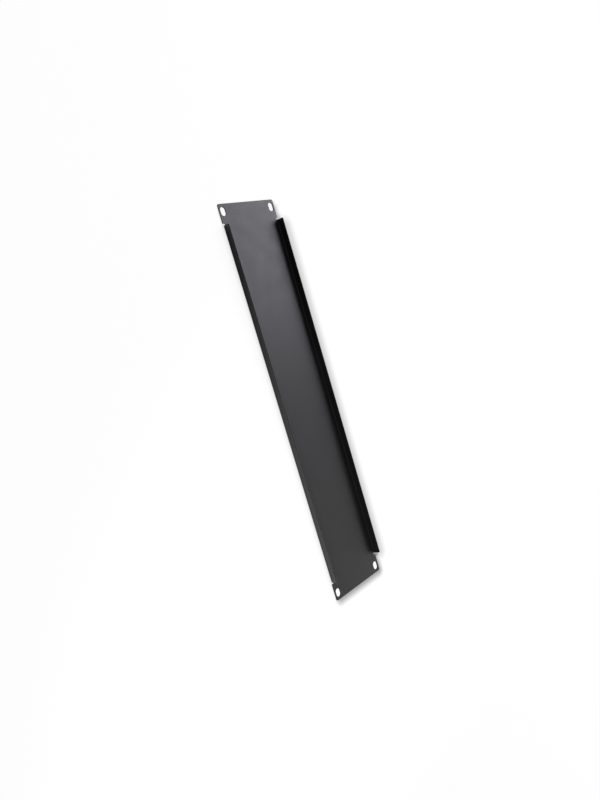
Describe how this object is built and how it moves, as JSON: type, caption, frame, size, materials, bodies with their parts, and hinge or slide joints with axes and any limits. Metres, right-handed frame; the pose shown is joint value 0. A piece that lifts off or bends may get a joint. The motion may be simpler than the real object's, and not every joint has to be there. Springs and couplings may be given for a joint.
{
  "type": "rack blanking panel",
  "caption": "Flat sheet-steel rack filler panel with a folded flange along each long side and a slotted ear at each end, in black satin powder coat.",
  "frame": {"origin": "middle of the front face, which lies on z = 0", "axes": "+X along the panel's length across the rack, +Y along its height up the rack, +Z out of its back, the way the flanges point"},
  "size_m": [0.4826, 0.0882, 0.0103],
  "materials": {
    "black_powder_coat": "satin, fine texture"
  },
  "bodies": {
    "root": {"blanking_panel": "black_powder_coat"}
  },
  "joints": []
}
